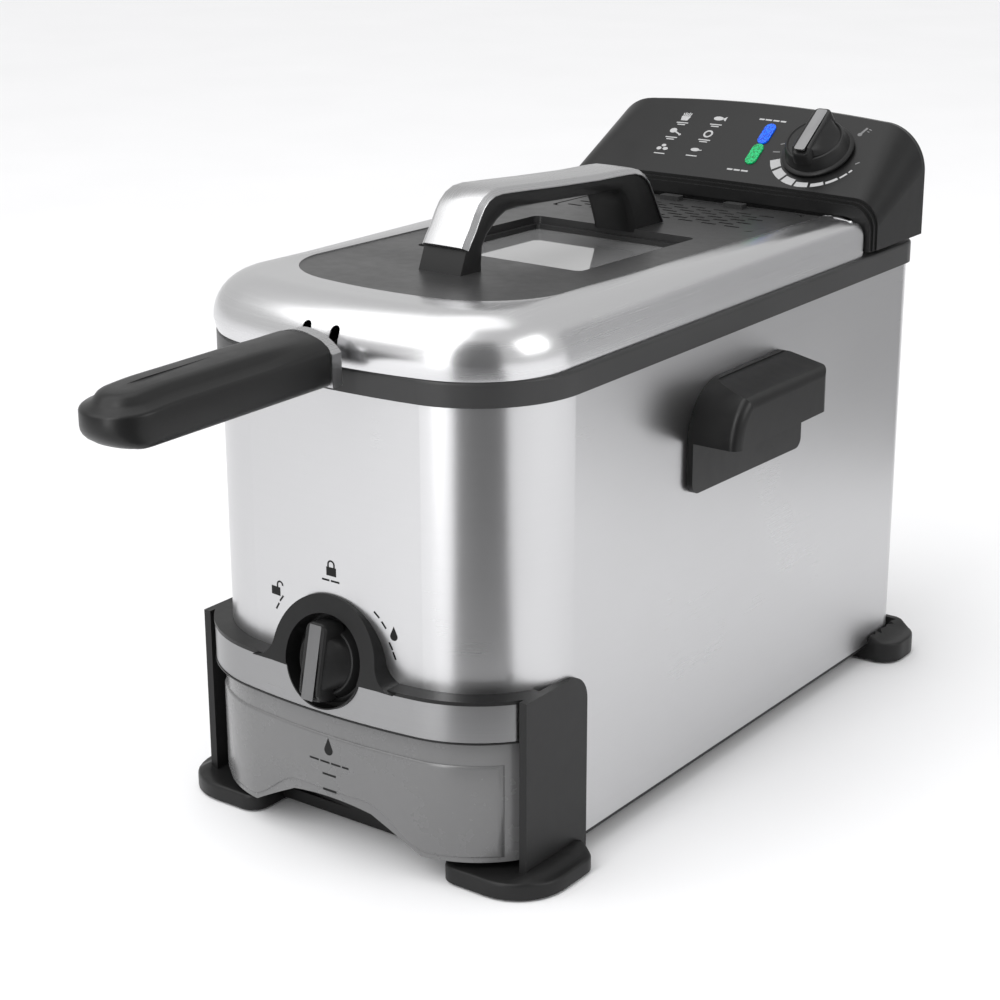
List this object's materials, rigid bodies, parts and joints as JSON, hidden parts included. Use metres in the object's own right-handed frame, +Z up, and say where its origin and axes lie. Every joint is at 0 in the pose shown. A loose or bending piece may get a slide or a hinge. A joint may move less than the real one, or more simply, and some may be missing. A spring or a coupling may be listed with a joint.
{
  "type": "deep fryer",
  "caption": "Counter-top deep fryer: steel body, lift-out tank, basket and control unit, lid with window, filter knob and pull-out oil box.",
  "frame": {"origin": "on the counter, under the middle of the whole object including the basket handle", "axes": "+Z up, +Y from the front to the back, +X to the right of a person facing the front"},
  "size_m": [0.245, 0.528, 0.3087],
  "materials": {
    "body_steel": "horizontal satin brushing",
    "trim_steel": "fine brushed",
    "lid_steel": "satin brushed",
    "inner_steel": "pressed stainless",
    "screw_steel": "plated",
    "black_plastic": "fine moulded grain",
    "lid_plastic": "satin charcoal",
    "box_plastic": "smoked grey satin",
    "rubber": "matt",
    "smoked_glass": "tinted viewing glass",
    "blue_lens": "lamp lens",
    "green_lens": "lamp lens",
    "basket_wire": "plated wire",
    "element_metal": "oxidised sheath",
    "filter_felt": "fibre mat",
    "board": "coated laminate"
  },
  "bodies": {
    "root": {"base_pan": "inner_steel", "base_screws": "screw_steel", "outer_housing": "body_steel", "rim_collar": "black_plastic", "front_frame": "black_plastic", "fascia_strip": "trim_steel", "front_foot_left": "black_plastic", "front_foot_right": "black_plastic", "rear_foot_left": "black_plastic", "rear_foot_right": "black_plastic", "foot_pads": "rubber", "side_handle_left": "black_plastic", "side_handle_right": "black_plastic", "handle_screws": "screw_steel", "divider_shelf": "inner_steel", "control_bracket": "inner_steel"},
    "filter_control": {"filter_knob": "black_plastic", "knob_strip": "trim_steel", "knob_shaft": "inner_steel", "lock_cam": "inner_steel"},
    "drain_shutter": {"drain_gate": "inner_steel"},
    "tank": {"oil_tank": "inner_steel", "valve_body": "inner_steel", "drain_strainer": "inner_steel"},
    "clean_oil_box": {"oil_box": "box_plastic", "oil_box_lid": "box_plastic", "box_filter": "inner_steel", "box_seal": "rubber"},
    "control_unit": {"control_housing": "black_plastic", "control_back": "black_plastic", "control_screws": "screw_steel", "power_inlet": "black_plastic", "power_lens": "blue_lens", "ready_lens": "green_lens", "heating_element": "element_metal", "element_bracket": "inner_steel", "thermostat_body": "inner_steel", "thermostat_bulb": "inner_steel", "safety_cutout": "inner_steel", "relay_board": "board"},
    "temperature_dial": {"thermostat_knob": "black_plastic", "dial_strip": "trim_steel", "dial_spindle": "inner_steel"},
    "reset": {"reset_button": "black_plastic"},
    "basket": {"fry_basket": "basket_wire", "basket_frame": "basket_wire", "basket_bracket": "basket_wire", "basket_grip": "black_plastic", "handle_collar": "trim_steel"},
    "lid": {"lid_shell": "lid_steel", "lid_insert": "lid_plastic", "window_glass": "smoked_glass", "lid_inner_pan": "inner_steel", "lid_gasket": "rubber", "lid_handle_core": "black_plastic", "lid_handle_cap": "trim_steel", "lid_handle_screws": "screw_steel", "lid_filter": "filter_felt"},
    "filter_cover": {"filter_grille": "lid_plastic"}
  },
  "joints": [
    {"name": "tank_lift", "type": "slide", "parent": "root", "child": "tank", "axis": [0, 0, 1], "range_m": [0, 0.16]},
    {"name": "control_unit_lift", "type": "slide", "parent": "tank", "child": "control_unit", "axis": [0, 0, 1], "range_m": [0, 0.2]},
    {"name": "basket_lift", "type": "slide", "parent": "control_unit", "child": "basket", "axis": [0, 0, 1], "range_m": [0, 0.16]},
    {"name": "lid_lift", "type": "slide", "parent": "basket", "child": "lid", "axis": [0, 0, 1], "range_m": [0, 0.15]},
    {"name": "filter_cover_hinge", "type": "hinge", "parent": "lid", "child": "filter_cover", "pos_m": [0, 0.14, 0.258], "axis": [1, 0, 0], "range_deg": [0, 75]},
    {"name": "oil_box_slide", "type": "slide", "parent": "root", "child": "clean_oil_box", "axis": [0, -1, 0], "range_m": [0, 0.36]},
    {"name": "filter_knob_turn", "type": "hinge", "parent": "root", "child": "filter_control", "pos_m": [0, -0.129, 0.099], "axis": [0, 0.9744, -0.225], "range_deg": [-50, 50]},
    {"name": "drain_gate_slide", "type": "slide", "parent": "tank", "child": "drain_shutter", "axis": [1, 0, 0], "range_m": [-0.0112, 0.0112]},
    {"name": "thermostat_turn", "type": "hinge", "parent": "control_unit", "child": "temperature_dial", "pos_m": [0.0485, 0.2305, 0.28544], "axis": [0, 0.5779, -0.8161], "range_deg": [0, 280]},
    {"name": "reset_push", "type": "slide", "parent": "control_unit", "child": "reset", "axis": [0, -1, 0], "range_m": [0, 0.0014], "stiffness_N_per_m": 500, "springref_m": -0.0005}
  ],
  "couplings": [
    {"joint": "drain_gate_slide", "follows": "filter_knob_turn", "m_per_rad": 0.012606}
  ]
}
